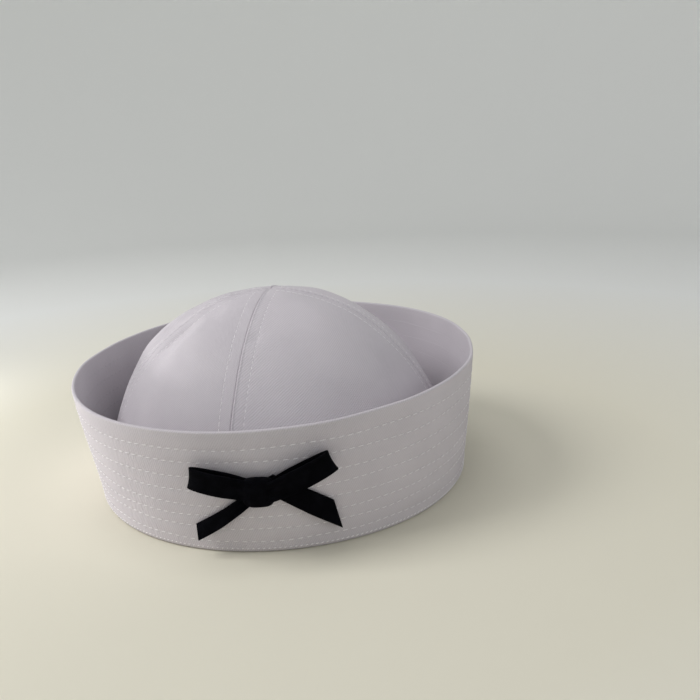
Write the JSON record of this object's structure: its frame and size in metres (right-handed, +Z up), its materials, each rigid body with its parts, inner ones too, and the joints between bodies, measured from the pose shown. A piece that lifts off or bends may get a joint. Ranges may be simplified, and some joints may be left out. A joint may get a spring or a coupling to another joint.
{
  "type": "sailor cap",
  "caption": "White cotton sailor cap with a domed panelled crown, a tall turned-up brim and a black velvet ribbon bow at the front.",
  "frame": {"origin": "on the surface the cap stands on, under the middle of the whole cap's box, bow included", "axes": "+Z up from the brim's fold to the top of the crown, -Y towards the bow at the front, +X to the right of someone who faces the bow"},
  "size_m": [0.1978, 0.202, 0.092],
  "materials": {
    "cotton": "white cotton twill, matt",
    "velvet": "black velvet ribbon with a soft pile"
  },
  "bodies": {
    "root": {"crown_panel_front_right": "cotton", "crown_panel_back_right": "cotton", "crown_panel_back_left": "cotton", "crown_panel_front_left": "cotton", "brim": "cotton", "bow_knot": "velvet", "bow_loop_left": "velvet", "bow_loop_right": "velvet", "bow_tail_left": "velvet", "bow_tail_right": "velvet"}
  },
  "joints": []
}
